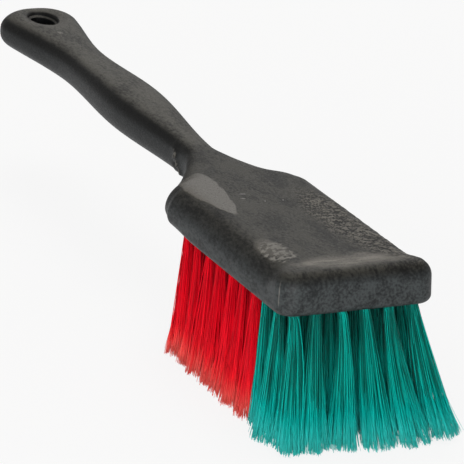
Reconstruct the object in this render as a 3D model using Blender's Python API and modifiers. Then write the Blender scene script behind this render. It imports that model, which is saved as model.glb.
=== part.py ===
"""Long-handled scrub brush.

One moulded body is the head, the neck and the contoured handle with its hanging hole. Ten rows of
bristle tufts are folded into blind holes in the underside of the head: the three rows at the front
are green, the seven behind them red. The brush lies along X with its front towards +X, stands on its
bristle tips at Z = 0 and is the same on both sides of Y = 0.
"""

import math

import bmesh
import bpy
import numpy as np
from mathutils import Vector

# The head, measured back from its front face to its shoulders.
HEAD_LENGTH = 0.1305
HEAD_WIDTH = 0.0766
HEAD_THICKNESS = 0.0197
FRONT_CORNER_RADIUS = 0.0090
BOTTOM_EDGE_RADIUS = 0.0035
WALL_DRAFT = 0.0008
# The top edge is rounded tightly across the front, and opens out to a broad rounding at the sides.
FRONT_TOP_RADIUS = 0.0076
SIDE_TOP_RADIUS = 0.0138
TOP_RADIUS_RUN = 0.0114

# The handle, measured back from the shoulders. Heights are over the underside of the head.
HANDLE_LENGTH = 0.2898
NECK_DISTANCE = 0.0529
NECK_WIDTH = 0.0175
NECK_THICKNESS = 0.0185
NECK_HEIGHT = 0.0116
SWELL_DISTANCE = 0.1375
SWELL_WIDTH = 0.0300
SWELL_THICKNESS = 0.0229
SWELL_HEIGHT = 0.0142
WAIST_DISTANCE = 0.2033
WAIST_WIDTH = 0.0243
WAIST_THICKNESS = 0.0194
WAIST_HEIGHT = 0.0152
END_WIDTH = 0.0449
END_THICKNESS = 0.0215
END_HEIGHT = 0.0168
END_ROUNDING = 0.0207
HANDLE_FULLNESS = 2.4

# How the plan narrows from the shoulders to the neck: shares of that distance, and of the width
# that is still left over the neck's.
FLARE_SHARES = ((0.08, 0.962), (0.17, 0.926), (0.31, 0.705), (0.50, 0.421), (0.77, 0.147))
# The head's square section has become the handle's oval after this share of the way to the neck.
SECTION_BLEND_SHARE = 0.60
# The height of the blunt edge round the handle's end, as a share of its thickness.
END_EDGE_SHARE = 0.35

# The hanging hole: an oval along the handle, opened out at both rims.
HOLE_FROM_END = 0.0226
HOLE_WIDTH = 0.0130
HOLE_LENGTH = 0.0225
HOLE_RIM = 0.0028

# The tufts and their holes. The rearmost row has one tuft fewer over the same width.
BRISTLE_LENGTH = 0.0600
TUFT_HOLE_DIAMETER = 0.0056
TUFT_HOLE_DEPTH = 0.0120
CLEARANCE = 0.0003
FRONT_ROW_INSET = 0.0080
REAR_ROW_INSET = 0.0065
SIDE_ROW_INSET = 0.0092
ROWS = 10
GREEN_ROWS = 3
TUFTS_IN_ROW = 6
TUFTS_IN_REAR_ROW = 5

# How the tufts stand: each leans out to its side, and the front rows lean forward the most. A tuft
# fans out until its tips fill this share of the room between it and its neighbours.
FRONT_LEAN = 0.0160
REAR_LEAN = 0.0030
FRONT_SIDE_LEAN = 0.0124
REAR_SIDE_LEAN = 0.0032
FORWARD_LEAN_POWER = 5.0
SIDE_LEAN_POWER = 4.0
STRANDS_IN_TUFT = 8
STRAND_GAP = 0.0003
TIP_FILL_SHARE = 0.97
STRAND_SPREAD = 1.5

# How finely the body's surface is divided.
QUARTER_POINTS = 8
FRONT_STEPS = 6
RUN_STEPS = 4
HEAD_STEPS = 2
FLARE_STEPS = 11
HANDLE_STEPS = 20
END_STEPS = 6
HOLE_SIDES = 24
TUFT_HOLE_SIDES = 8

CUT_OVERRUN = 0.0020
WELD_DISTANCE = 0.000001
SMOOTH_ANGLE = math.radians(38.0)

TOTAL_LENGTH = HEAD_LENGTH + HANDLE_LENGTH
UNDERSIDE = BRISTLE_LENGTH
ROW_PITCH = (HEAD_LENGTH - FRONT_ROW_INSET - REAR_ROW_INSET) / (ROWS - 1)
FIELD_WIDTH = HEAD_WIDTH - 2 * SIDE_ROW_INSET
ROOT_RADIUS = TUFT_HOLE_DIAMETER / 2 - CLEARANCE
ROOT_LENGTH = TUFT_HOLE_DEPTH - CLEARANCE

COLLECTION_NAME = "long_handled_scrub_brush"
BLACK = (0.030, 0.030, 0.029)
RED = (0.600, 0.012, 0.022)
GREEN = (0.000, 0.300, 0.250)


def clear_scene():
    """Empties the file's scene, its cube, lamp and camera included."""
    for obj in list(bpy.data.objects):
        bpy.data.objects.remove(obj, do_unlink=True)


def new_collection(name):
    collection = bpy.data.collections.new(name)
    bpy.context.scene.collection.children.link(collection)
    return collection


def new_material(name, colour, roughness):
    material = bpy.data.materials.new(name)
    material.use_nodes = True
    shader = material.node_tree.nodes["Principled BSDF"]
    shader.inputs["Base Color"].default_value = (*colour, 1.0)
    shader.inputs["Roughness"].default_value = roughness
    shader.inputs["Metallic"].default_value = 0.0
    material.diffuse_color = (*colour, 1.0)
    return material


def new_object(name, bm, collection, material=None):
    mesh = bpy.data.meshes.new(name)
    bm.to_mesh(mesh)
    bm.free()
    if material is not None:
        mesh.materials.append(material)
    mesh.shade_smooth()
    mesh.set_sharp_from_angle(angle=SMOOTH_ANGLE)
    obj = bpy.data.objects.new(name, mesh)
    collection.objects.link(obj)
    return obj


def curve_slopes(places, values):
    """Slopes of a smooth curve through the points that never overshoots them: level at both ends
    and at each turn, and elsewhere the harmonic mean of the slopes on both sides."""
    steps = np.diff(places)
    slopes = np.diff(values) / steps
    inner = np.zeros(len(values))
    for i in range(1, len(values) - 1):
        if slopes[i - 1] * slopes[i] > 0:
            before = 2 * steps[i] + steps[i - 1]
            after = steps[i] + 2 * steps[i - 1]
            inner[i] = (before + after) / (before / slopes[i - 1] + after / slopes[i])
    return inner


def curve_through(places, values):
    """A function that reads the smooth curve through the points at any place."""
    places = np.array(places)
    values = np.array(values)
    slopes = curve_slopes(places, values)

    def read(place):
        i = int(np.clip(np.searchsorted(places, place) - 1, 0, len(places) - 2))
        step = places[i + 1] - places[i]
        t = (place - places[i]) / step
        return (
            values[i] * (2 * t**3 - 3 * t**2 + 1)
            + slopes[i] * step * (t**3 - 2 * t**2 + t)
            + values[i + 1] * (3 * t**2 - 2 * t**3)
            + slopes[i + 1] * step * (t**3 - t**2)
        )

    return read


def handle_curve(head, neck, swell, waist, end, shares=()):
    """A size of the handle from the shoulders back, where shares are those of the flare."""
    places = [NECK_DISTANCE * place for place, _ in ((0, 1), *shares, (1, 0))]
    values = [neck + (head - neck) * left for _, left in ((0, 1), *shares, (1, 0))]
    places += [SWELL_DISTANCE, WAIST_DISTANCE, HANDLE_LENGTH]
    return curve_through(places, values + [swell, waist, end])


def handle_half_width():
    widths = (HEAD_WIDTH, NECK_WIDTH, SWELL_WIDTH, WAIST_WIDTH, END_WIDTH)
    return handle_curve(*(width / 2 for width in widths), FLARE_SHARES)


def handle_thickness():
    sizes = (HEAD_THICKNESS, NECK_THICKNESS, SWELL_THICKNESS, WAIST_THICKNESS, END_THICKNESS)
    return handle_curve(*sizes)


def handle_middle():
    """The height of the handle's middle over the underside of the head."""
    return handle_curve(HEAD_THICKNESS / 2, NECK_HEIGHT, SWELL_HEIGHT, WAIST_HEIGHT, END_HEIGHT)


def blend(t):
    """From 0 to 1 as t goes from 0 to 1, leaving and arriving level."""
    t = min(max(t, 0.0), 1.0)
    return t * t * (3 - 2 * t)


def front_depth():
    """How far back from the front face its corners and edges are rounded."""
    return max(FRONT_CORNER_RADIUS, FRONT_TOP_RADIUS, BOTTOM_EDGE_RADIUS)


def corner_half_width(depth, inset):
    """Half the width of the head's plan, drawn in by inset, where the front corners round it."""
    half = HEAD_WIDTH / 2
    if depth >= FRONT_CORNER_RADIUS:
        return half - inset
    ahead = FRONT_CORNER_RADIUS - depth
    reach = max((FRONT_CORNER_RADIUS - inset) ** 2 - ahead**2, 0.0)
    return half - FRONT_CORNER_RADIUS + math.sqrt(reach)


def head_quarter(depth, radius, edge_height, up):
    """Points of one rounded edge of the head's section, from the wall round to the flat. Near the
    front face the edge is rounded only as far as the depth reaches, so both roundings meet there."""
    turn = math.acos(max(1.0 - depth / radius, 0.0))
    points = []
    for j in range(QUARTER_POINTS):
        angle = turn * j / (QUARTER_POINTS - 1)
        height = edge_height + up * radius * math.sin(angle)
        lean = WALL_DRAFT * height / HEAD_THICKNESS
        points.append((corner_half_width(depth, radius * (1 - math.cos(angle))) - lean, height))
    return points


def head_section(depth):
    """The head's section: top edge and bottom edge of one side, as (half width, height)."""
    run = blend((depth - front_depth()) / TOP_RADIUS_RUN)
    top_radius = FRONT_TOP_RADIUS + (SIDE_TOP_RADIUS - FRONT_TOP_RADIUS) * run
    top = head_quarter(depth, top_radius, HEAD_THICKNESS - top_radius, 1)
    bottom = head_quarter(depth, BOTTOM_EDGE_RADIUS, BOTTOM_EDGE_RADIUS, -1)
    return top, bottom


def square_section(half, thickness, middle):
    """The head's rounded section carried back along the flare, where it grows narrower."""
    top_radius = min(SIDE_TOP_RADIUS, half, thickness - BOTTOM_EDGE_RADIUS)
    bottom_radius = min(BOTTOM_EDGE_RADIUS, half, thickness / 2)
    quarters = []
    for radius, up in ((top_radius, 1), (bottom_radius, -1)):
        points = []
        for j in range(QUARTER_POINTS):
            angle = math.pi / 2 * j / (QUARTER_POINTS - 1)
            height = middle + up * (thickness / 2 - radius + radius * math.sin(angle))
            lean = WALL_DRAFT * (height - middle + thickness / 2) / thickness
            points.append((half - radius * (1 - math.cos(angle)) - lean, height))
        quarters.append(points)
    return quarters


def oval_section(half, thickness, middle):
    """The handle's section: an oval a little fuller than an ellipse."""
    quarters = []
    for up in (1, -1):
        points = []
        for j in range(QUARTER_POINTS):
            angle = math.pi / 2 * (j + 0.5) / QUARTER_POINTS
            across = math.cos(angle) ** (2 / HANDLE_FULLNESS)
            above = math.sin(angle) ** (2 / HANDLE_FULLNESS)
            points.append((half * across, middle + up * thickness / 2 * above))
        quarters.append(points)
    return quarters


def mixed(first, second, share):
    """Two sections of like points, mixed point by point."""
    return [
        [
            (a[0] * (1 - share) + b[0] * share, a[1] * (1 - share) + b[1] * share)
            for a, b in zip(one, other)
        ]
        for one, other in zip(first, second)
    ]


def full_ring(section, depth):
    """The whole ring of one section at its depth, once round from the right wall over the top."""
    top, bottom = section
    right = [(half, height) for half, height in top]
    left = [(-half, height) for half, height in reversed(top)]
    under_left = [(-half, height) for half, height in bottom]
    under_right = [(half, height) for half, height in reversed(bottom)]
    return [(-depth, y, UNDERSIDE + z) for y, z in right + left + under_left + under_right]


def body_rings():
    """Every section of the body from the head's front face to the handle's end."""
    front = front_depth()
    depths = [front * (1 - math.cos(math.pi / 2 * i / FRONT_STEPS)) for i in range(FRONT_STEPS)]
    depths += [front + TOP_RADIUS_RUN * i / RUN_STEPS for i in range(RUN_STEPS)]
    straight = HEAD_LENGTH - front - TOP_RADIUS_RUN
    depths += [HEAD_LENGTH - straight * i / HEAD_STEPS for i in range(HEAD_STEPS, -1, -1)]
    rings = [full_ring(head_section(depth), depth) for depth in depths]

    half_width = handle_half_width()
    thickness = handle_thickness()
    middle = handle_middle()
    straight_end = HANDLE_LENGTH - END_ROUNDING
    distances = [NECK_DISTANCE * i / FLARE_STEPS for i in range(1, FLARE_STEPS + 1)]
    distances += [
        NECK_DISTANCE + (straight_end - NECK_DISTANCE) * i / HANDLE_STEPS
        for i in range(1, HANDLE_STEPS + 1)
    ]
    for distance in distances:
        sizes = half_width(distance), thickness(distance), middle(distance)
        share = blend(distance / NECK_DISTANCE / SECTION_BLEND_SHARE)
        section = mixed(square_section(*sizes), oval_section(*sizes), share)
        rings.append(full_ring(section, HEAD_LENGTH + distance))
    for i in range(1, END_STEPS + 1):
        angle = math.pi / 2 * i / END_STEPS
        distance = straight_end + END_ROUNDING * math.sin(angle)
        edge = END_EDGE_SHARE + (1 - END_EDGE_SHARE) * math.cos(angle)
        half = half_width(distance) * max(math.cos(angle), 0.0) if i < END_STEPS else 0.0
        section = oval_section(half, thickness(distance) * edge, middle(distance))
        rings.append(full_ring(section, HEAD_LENGTH + distance))
    return rings


def lofted(rings):
    """One closed skin over the rings. The last ring is flattened to a line, which closes the end."""
    bm = bmesh.new()
    rows = [[bm.verts.new(point) for point in ring] for ring in rings]
    count = len(rings[0])
    for row, following in zip(rows, rows[1:]):
        for k in range(count):
            after = (k + 1) % count
            bm.faces.new((row[k], row[after], following[after], following[k]))
    bm.faces.new(rows[0])
    bmesh.ops.remove_doubles(bm, verts=bm.verts, dist=WELD_DISTANCE)
    bmesh.ops.recalc_face_normals(bm, faces=bm.faces)
    return bm


def join_flat_underside(bm):
    """Makes the head's flat underside one face, so that the tuft holes cut it cleanly."""
    flat = [
        face
        for face in bm.faces
        if all(abs(vert.co.z - UNDERSIDE) < WELD_DISTANCE for vert in face.verts)
    ]
    bmesh.ops.dissolve_faces(bm, faces=flat)


def tuft_places():
    """Row, place in the row and centre of every tuft, from the front row back."""
    places = []
    for row in range(ROWS):
        count = TUFTS_IN_REAR_ROW if row == ROWS - 1 else TUFTS_IN_ROW
        x = -FRONT_ROW_INSET - ROW_PITCH * row
        for column in range(count):
            y = FIELD_WIDTH * (column / (count - 1) - 0.5)
            places.append((row, column, x, y))
    return places


def row_lean(row):
    """How far the tips of a row lie ahead of their roots, and those of its last tuft to the side."""
    forward = 1 - row / (ROWS - 1)
    ahead = REAR_LEAN + (FRONT_LEAN - REAR_LEAN) * forward**FORWARD_LEAN_POWER
    aside = REAR_SIDE_LEAN + (FRONT_SIDE_LEAN - REAR_SIDE_LEAN) * forward**SIDE_LEAN_POWER
    return ahead, aside


def tip_radius(row):
    """The radius of a tuft at its tips, where it fans out towards its neighbours."""
    across = (FIELD_WIDTH + 2 * row_lean(row)[1]) / (TUFTS_IN_ROW - 1)
    return TIP_FILL_SHARE * min(across, ROW_PITCH) / 2


def tuft_hole_cutter(collection):
    """All the blind holes as one cutter of separate drills."""
    bm = bmesh.new()
    depth = TUFT_HOLE_DEPTH + CUT_OVERRUN
    for _, _, x, y in tuft_places():
        made = bmesh.ops.create_cone(
            bm,
            cap_ends=True,
            segments=TUFT_HOLE_SIDES,
            radius1=TUFT_HOLE_DIAMETER / 2,
            radius2=TUFT_HOLE_DIAMETER / 2,
            depth=depth,
        )
        height = UNDERSIDE - CUT_OVERRUN + depth / 2
        bmesh.ops.translate(bm, verts=made["verts"], vec=(x, y, height))
    return as_cutter(new_object("tuft_hole_cutter", bm, collection))


def hanging_hole_cutter(collection):
    """The hole through the handle's end: a turned spool, wider at both rims and drawn out to an oval."""
    centre = HANDLE_LENGTH - HOLE_FROM_END
    thickness = handle_thickness()(centre)
    middle = handle_middle()(centre)
    radius = HOLE_WIDTH / 2
    wide = radius + HOLE_RIM + CUT_OVERRUN
    top = thickness / 2 + CUT_OVERRUN
    neck = thickness / 2 - HOLE_RIM
    profile = ((0, top), (wide, top), (radius, neck), (radius, -neck), (wide, -top), (0, -top))
    bm = bmesh.new()
    verts = [bm.verts.new((across, 0, above)) for across, above in profile]
    for start, end in zip(verts, verts[1:]):
        bm.edges.new((start, end))
    cutter = as_cutter(new_object("hanging_hole_cutter", bm, collection))
    screw = cutter.modifiers.new("turned", "SCREW")
    screw.steps = HOLE_SIDES
    screw.render_steps = HOLE_SIDES
    screw.use_merge_vertices = True
    screw.merge_threshold = WELD_DISTANCE
    cutter.scale = (HOLE_LENGTH / HOLE_WIDTH, 1, 1)
    cutter.location = (-HEAD_LENGTH - centre, 0, UNDERSIDE + middle)
    return cutter


def as_cutter(obj):
    obj.hide_render = True
    obj.display_type = "WIRE"
    return obj


def cut(obj, cutter):
    modifier = obj.modifiers.new("cut_by_" + cutter.name, "BOOLEAN")
    modifier.operation = "DIFFERENCE"
    modifier.object = cutter


def make_body(collection, cutters, material):
    """The one-piece moulded body with its tuft holes and its hanging hole."""
    bm = lofted(body_rings())
    join_flat_underside(bm)
    body = new_object("brush_body", bm, collection, material)
    cut(body, tuft_hole_cutter(cutters))
    cut(body, hanging_hole_cutter(cutters))
    return body


def tuft_mesh(name, row, y, material):
    """A tuft round its root: the folded bundle in its hole, and the strands that fan out of it.

    The root's end is divided into wedges, each wedge is drawn in a little from its neighbours and
    drawn out to its own place at the tips, so no two strands touch and all end level.
    """
    bm = bmesh.new()
    bmesh.ops.create_cone(
        bm,
        cap_ends=True,
        segments=STRANDS_IN_TUFT,
        radius1=ROOT_RADIUS,
        radius2=ROOT_RADIUS,
        depth=ROOT_LENGTH,
    )
    bmesh.ops.translate(bm, verts=bm.verts, vec=(0, 0, ROOT_LENGTH / 2))
    end = [face for face in bm.faces if face.normal.z < -0.5]
    wedges = bmesh.ops.poke(bm, faces=end)["faces"]
    bmesh.ops.inset_individual(bm, faces=wedges, thickness=STRAND_GAP / 2)
    strands = bmesh.ops.extrude_discrete_faces(bm, faces=wedges)["faces"]
    ahead, aside = row_lean(row)
    lean = Vector((ahead, aside * y / (FIELD_WIDTH / 2), -BRISTLE_LENGTH))
    for strand in strands:
        middle = strand.calc_center_median()
        reach = middle.length
        spread = (tip_radius(row) - STRAND_SPREAD * (ROOT_RADIUS - reach)) / reach
        for vert in strand.verts:
            vert.co = lean + middle * spread + (vert.co - middle) * STRAND_SPREAD
    bmesh.ops.recalc_face_normals(bm, faces=bm.faces)
    mesh = bpy.data.meshes.new(name)
    bm.to_mesh(mesh)
    bm.free()
    mesh.materials.append(material)
    return mesh


def make_tufts(collection, red, green):
    """Every tuft as its own object, named by its colour, its row and its place in the row."""
    tufts = []
    for row, column, x, y in tuft_places():
        colour, material = ("green", green) if row < GREEN_ROWS else ("red", red)
        name = f"tuft_{colour}_row{row + 1:02d}_{column + 1}"
        tuft = bpy.data.objects.new(name, tuft_mesh(name, row, y, material))
        tuft.location = (x, y, UNDERSIDE)
        collection.objects.link(tuft)
        tufts.append(tuft)
    return tufts


def centre_on_origin(objects, tufts, collection):
    """Hangs everything on one empty, moved so that the origin is under the middle of the brush."""
    reach = max(tuft.location.x + vert.co.x for tuft in tufts for vert in tuft.data.vertices)
    frame = bpy.data.objects.new(COLLECTION_NAME, None)
    collection.objects.link(frame)
    for obj in objects:
        obj.parent = frame
    frame.location.x = (TOTAL_LENGTH - reach) / 2


def main():
    clear_scene()
    parts = new_collection(COLLECTION_NAME)
    cutters = new_collection("cutters")
    black = new_material("black_polypropylene", BLACK, 0.55)
    red = new_material("red_bristle", RED, 0.45)
    green = new_material("green_bristle", GREEN, 0.45)
    body = make_body(parts, cutters, black)
    tufts = make_tufts(parts, red, green)
    centre_on_origin([body, *tufts, *cutters.objects], tufts, parts)


main()
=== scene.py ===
"""Looks of the long-handled scrub brush: moulded body, bristle filaments, light and camera.

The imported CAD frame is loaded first, and every piece made here rides on its one body. The moulded
body is the same loft as the CAD body, worked out more finely, and each tuft of the CAD model is
replaced by a tuft of fine filaments. All sizes are in metres, in the frame's own coordinates: X
runs towards the front of the head, Y across it, and Z up from the bristle tips.
"""

import logging
import math
from dataclasses import dataclass
from enum import Enum

import bmesh
import bpy
import numpy as np
from mathutils import Matrix, Vector


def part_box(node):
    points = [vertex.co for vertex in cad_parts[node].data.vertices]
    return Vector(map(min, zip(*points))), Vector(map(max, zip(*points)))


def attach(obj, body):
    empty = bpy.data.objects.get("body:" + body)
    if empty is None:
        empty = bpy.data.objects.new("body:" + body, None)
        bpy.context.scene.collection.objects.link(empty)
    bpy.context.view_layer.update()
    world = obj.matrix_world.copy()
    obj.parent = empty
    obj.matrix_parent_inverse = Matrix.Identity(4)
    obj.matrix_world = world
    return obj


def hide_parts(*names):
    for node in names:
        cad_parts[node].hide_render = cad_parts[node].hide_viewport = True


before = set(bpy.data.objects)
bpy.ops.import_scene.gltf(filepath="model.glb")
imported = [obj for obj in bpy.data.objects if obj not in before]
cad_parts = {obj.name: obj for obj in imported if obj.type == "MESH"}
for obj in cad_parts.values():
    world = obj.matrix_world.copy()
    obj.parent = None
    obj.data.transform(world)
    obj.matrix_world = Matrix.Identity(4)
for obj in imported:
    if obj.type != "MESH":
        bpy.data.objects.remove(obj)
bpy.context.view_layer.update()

BODY = "root"
WHITE = (1.0, 1.0, 1.0)
# Points closer than this are one.
NEAR = 1e-6
# A patch never narrows below this share of its width.
LEAST_WIDTH = 0.05
LOG = logging.getLogger("scrub_brush")

Array = np.ndarray
Colour = tuple[float, float, float]
Pair = tuple[float, float]
Four = tuple[float, float, float, float]
Quarters = list[tuple[Array, Array]]
Material = bpy.types.Material
Mesh = bpy.types.Mesh
Object = bpy.types.Object
Outputs = bpy.types.bpy_prop_collection
Socket = bpy.types.NodeSocket
Inputs = dict[str | int, object]


def rise(t: Array) -> Array:
    """A smooth step from 0 to 1: three t squared less two t cubed, with t kept within 0 and 1."""
    t = np.clip(t, 0.0, 1.0)
    return t * t * (3 - 2 * t)


def smooth_curve(places: list[float], values: list[float], at: Array) -> Array:
    """Reads a curve that passes through the given points and never overshoots them.

    Each stretch is a cubic between two points. The slope at a point is the weighted harmonic mean
    of the slopes on both sides, and nought at both ends and wherever the curve turns.

    Args:
        places: where the known values stand, in rising order.
        values: the known values.
        at: the places to read.

    Returns:
        The curve's value at each place.
    """
    x, y = np.array(places), np.array(values)
    steps = np.diff(x)
    rates = np.diff(y) / steps
    before, after = 2 * steps[1:] + steps[:-1], steps[1:] + 2 * steps[:-1]
    same = rates[:-1] * rates[1:] > 0
    first, second = (np.where(same, side, 1.0) for side in (rates[:-1], rates[1:]))
    slopes = np.zeros(len(x))
    slopes[1:-1] = np.where(same, (before + after) / (before / first + after / second), 0.0)
    i = np.clip(np.searchsorted(x, at) - 1, 0, len(x) - 2)
    step = steps[i]
    t = (at - x[i]) / step
    tangents = slopes[i] * (1 - t) - slopes[i + 1] * t
    return y[i] + (y[i + 1] - y[i]) * rise(t) + step * t * (1 - t) * tangents


def circle(sides: int) -> Array:
    """Points evenly round a level circle of radius one."""
    turn = np.linspace(0, 2 * math.pi, sides, endpoint=False)
    return np.stack([np.cos(turn), np.sin(turn), np.zeros(sides)], axis=1)


def grid_faces(rings: int, sides: int) -> Array:
    """Four-sided faces between rings of points that are counted ring by ring."""
    ring, side = np.arange(rings - 1)[:, None] * sides, np.arange(sides)
    following = (side + 1) % sides
    corners = [ring + side, ring + following, ring + sides + following, ring + sides + side]
    return np.stack(corners, axis=-1).reshape(-1, 4)


def tube_faces(tubes: int, rings: int, sides: int, first: int = 0) -> list[list[int]]:
    """Faces of closed tubes whose points are counted tube by tube and ring by ring.

    Args:
        tubes: how many tubes there are.
        rings: how many rings each has.
        sides: how many points each ring has.
        first: the number of the first point.

    Returns:
        The point numbers of all walls, then those of both ends of each tube.
    """
    start = first + (np.arange(tubes) * rings * sides)[:, None, None]
    end = np.arange(sides)
    ends = np.stack([end, end[::-1] + (rings - 1) * sides]) + start
    walls = grid_faces(rings, sides) + start
    return walls.reshape(-1, 4).tolist() + ends.reshape(-1, sides).tolist()


def new_mesh(name: str, points: Array, faces: list[list[int]], **values: Array) -> Mesh:
    """A mesh of points and faces, which also keeps named numbers for its points."""
    mesh = bpy.data.meshes.new(name)
    mesh.from_pydata(points.reshape(-1, 3).tolist(), [], faces)
    mesh.update()
    for label, numbers in values.items():
        attribute = mesh.attributes.new(label, "FLOAT", "POINT")
        attribute.data.foreach_set("value", numbers.ravel().astype(np.float32))
    return mesh


def turn_outwards(mesh: Mesh) -> None:
    """Turns all faces of a closed mesh outwards."""
    bm = bmesh.new()
    bm.from_mesh(mesh)
    bmesh.ops.recalc_face_normals(bm, faces=bm.faces)
    bm.to_mesh(mesh)
    bm.free()


def new_object(name: str, data: bpy.types.ID) -> Object:
    """An object at the origin that shows a mesh, or holds a lamp or a camera."""
    made = bpy.data.objects.new(name, data)
    bpy.context.scene.collection.objects.link(made)
    return made


def dress(piece: Object, material: Material, slot: str, node: str) -> None:
    """Gives a piece its finish, hangs it on the body and hides the CAD node that it replaces.

    Args:
        piece: the finished piece.
        material: its finish.
        slot: not used.
        node: the CAD node that it replaces.
    """
    piece.data.materials.clear()
    piece.data.materials.append(material)
    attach(piece, BODY)
    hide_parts(node)
    LOG.info("%s: %d faces", piece.name, len(piece.data.polygons))


class Wiring:
    """Adds nodes to one node tree and links them, so that a finish reads as a list of steps."""

    def __init__(self, tree: bpy.types.NodeTree) -> None:
        """Takes the tree to add to."""
        self.tree = tree

    def feed(self, node: bpy.types.Node, inputs: Inputs) -> None:
        """Links or sets inputs of a node.

        Args:
            node: the node.
            inputs: an output socket, number, colour or vector by each input's name or number.
        """
        for name, source in inputs.items():
            socket = node.inputs[name]
            if isinstance(source, Socket):
                self.tree.links.new(source, socket)
            elif isinstance(source, tuple) and socket.type == "RGBA":
                socket.default_value = (*source, 1.0)
            else:
                socket.default_value = source

    def node(self, kind: str, inputs: Inputs | None = None, **settings: object) -> Outputs:
        """Adds a shader node.

        Args:
            kind: its type, less the word ShaderNode.
            inputs: what feeds its inputs.
            settings: its other settings.

        Returns:
            Its outputs.
        """
        made = self.tree.nodes.new(f"ShaderNode{kind}")
        for name, value in settings.items():
            setattr(made, name, value)
        self.feed(made, inputs or {})
        return made.outputs

    def maths(self, operation: str, *terms: object) -> Socket:
        """One sum on numbers, such as MAXIMUM or DIVIDE."""
        return self.node("Math", dict(enumerate(terms)), operation=operation)["Value"]

    def plus(self, *terms: object) -> Socket:
        """The sum of two numbers."""
        return self.maths("ADD", *terms)

    def times(self, *terms: object) -> Socket:
        """The product of two numbers."""
        return self.maths("MULTIPLY", *terms)

    def ramp(
        self, value: object, low: object, high: object, start: float = 0.0, end: float = 1.0
    ) -> Socket:
        """Carries a value from low..high to start..end along a smooth step."""
        names = ("Value", "From Min", "From Max", "To Min", "To Max")
        inputs = dict(zip(names, (value, low, high, start, end)))
        return self.node("MapRange", inputs, interpolation_type="SMOOTHSTEP")["Result"]

    def mix(self, share: object, first: object, second: object) -> Socket:
        """A mix of two colours."""
        return self.node("Mix", {"Factor": share, 6: first, 7: second}, data_type="RGBA")[2]

    def noise(self, vector: object, scale: object, detail: float = 3.0) -> Socket:
        """A cloudy value round one half, with a scale in waves to the metre."""
        return self.node("TexNoise", {"Vector": vector, "Scale": scale, "Detail": detail})["Fac"]

    def coordinate(self, kind: str) -> Socket:
        """A coordinate of the point, such as its place on the object in metres."""
        return self.node("TexCoord")[kind]

    def axes(self, vector: object) -> Outputs:
        """The three parts of a vector."""
        return self.node("SeparateXYZ", {"Vector": vector})

    def stretched(self, vector: object, scale: Colour) -> Socket:
        """The place with each axis scaled, which draws a pattern out along the smaller scales."""
        return self.node("Mapping", {"Vector": vector, "Scale": scale})["Vector"]

    def attribute(self, name: str) -> Socket:
        """A number that the mesh keeps for its points."""
        return self.node("Attribute", attribute_name=name)["Fac"]

    def group(self, tree: bpy.types.NodeTree, **inputs: object) -> Socket:
        """Places a shared effect and gives its output."""
        return self.node("Group", inputs, node_tree=tree)[0]


def new_effect(
    name: str, vectors: str, numbers: str, output: str
) -> tuple[Wiring, Outputs, bpy.types.Node]:
    """Starts a shared effect as a node group.

    Args:
        name: the group's name.
        vectors: the names of its vector inputs, with spaces between them.
        numbers: the names of its number inputs, likewise.
        output: the name of its one number output.

    Returns:
        The wiring of the group, what its inputs give, and the node that takes its output.
    """
    tree = bpy.data.node_groups.new(name, "ShaderNodeTree")
    for labels, kind in ((vectors, "Vector"), (numbers, "Float")):
        for label in labels.split():
            tree.interface.new_socket(label, in_out="INPUT", socket_type=f"NodeSocket{kind}")
    tree.interface.new_socket(output, in_out="OUTPUT", socket_type="NodeSocketFloat")
    given, made = (tree.nodes.new(f"NodeGroup{side}") for side in ("Input", "Output"))
    return Wiring(tree), given.outputs, made


class Effects:
    """The effects that several materials share, each built once."""

    def __init__(self) -> None:
        """Builds both groups."""
        self.patch = self._patch()
        self.mottle = self._mottle()

    def _patch(self) -> bpy.types.NodeTree:
        """A ragged oval patch: 1 inside it, 0 outside.

        The place is turned and scaled so that the patch's edge is one away from its centre. Across,
        it is also divided by one less the taper times the place along, which draws the far end to
        a point. Cloudy noise is added to that distance, and a smooth step is read across the edge.
        """
        wiring, given, made = new_effect(
            "ragged_patch", "Place Centre Turn Reach", "Taper Raggedness Grain Softness", "Mask"
        )
        names = {"Vector": "Place", "Location": "Centre", "Rotation": "Turn", "Scale": "Reach"}
        inputs = {name: given[source] for name, source in names.items()}
        x, y, z = wiring.axes(wiring.node("Mapping", inputs, vector_type="TEXTURE")["Vector"])
        narrowed = wiring.maths("SUBTRACT", 1.0, wiring.times(x, given["Taper"]))
        width = wiring.maths("MAXIMUM", narrowed, LEAST_WIDTH)
        joined = wiring.node("CombineXYZ", {"X": x, "Y": wiring.maths("DIVIDE", y, width), "Z": z})
        distance = wiring.node("VectorMath", {0: joined["Vector"]}, operation="LENGTH")["Value"]
        cloud = wiring.maths("SUBTRACT", wiring.noise(given["Place"], given["Grain"]), 0.5)
        edge = wiring.plus(distance, wiring.times(cloud, given["Raggedness"]))
        inner = wiring.maths("SUBTRACT", 1.0, given["Softness"])
        wiring.feed(made, {"Mask": wiring.ramp(edge, 1.0, inner)})
        return wiring.tree

    def _mottle(self) -> bpy.types.NodeTree:
        """Uneven colour: coarse clouds and fine grain mixed by a share, centred on one half."""
        wiring, given, made = new_effect("mottle", "Place", "Coarse Fine Share", "Value")
        coarse, fine = (wiring.noise(given["Place"], given[name]) for name in ("Coarse", "Fine"))
        inputs = {"Factor": given["Share"], 2: coarse, 3: fine}
        wiring.feed(made, {"Value": wiring.node("Mix", inputs, data_type="FLOAT")[0]})
        return wiring.tree


def new_finish(name: str) -> tuple[Material, Wiring, bpy.types.Node]:
    """A material with its wiring and its Principled shader."""
    material = bpy.data.materials.new(name)
    material.use_nodes = True
    return material, Wiring(material.node_tree), material.node_tree.nodes["Principled BSDF"]


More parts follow.
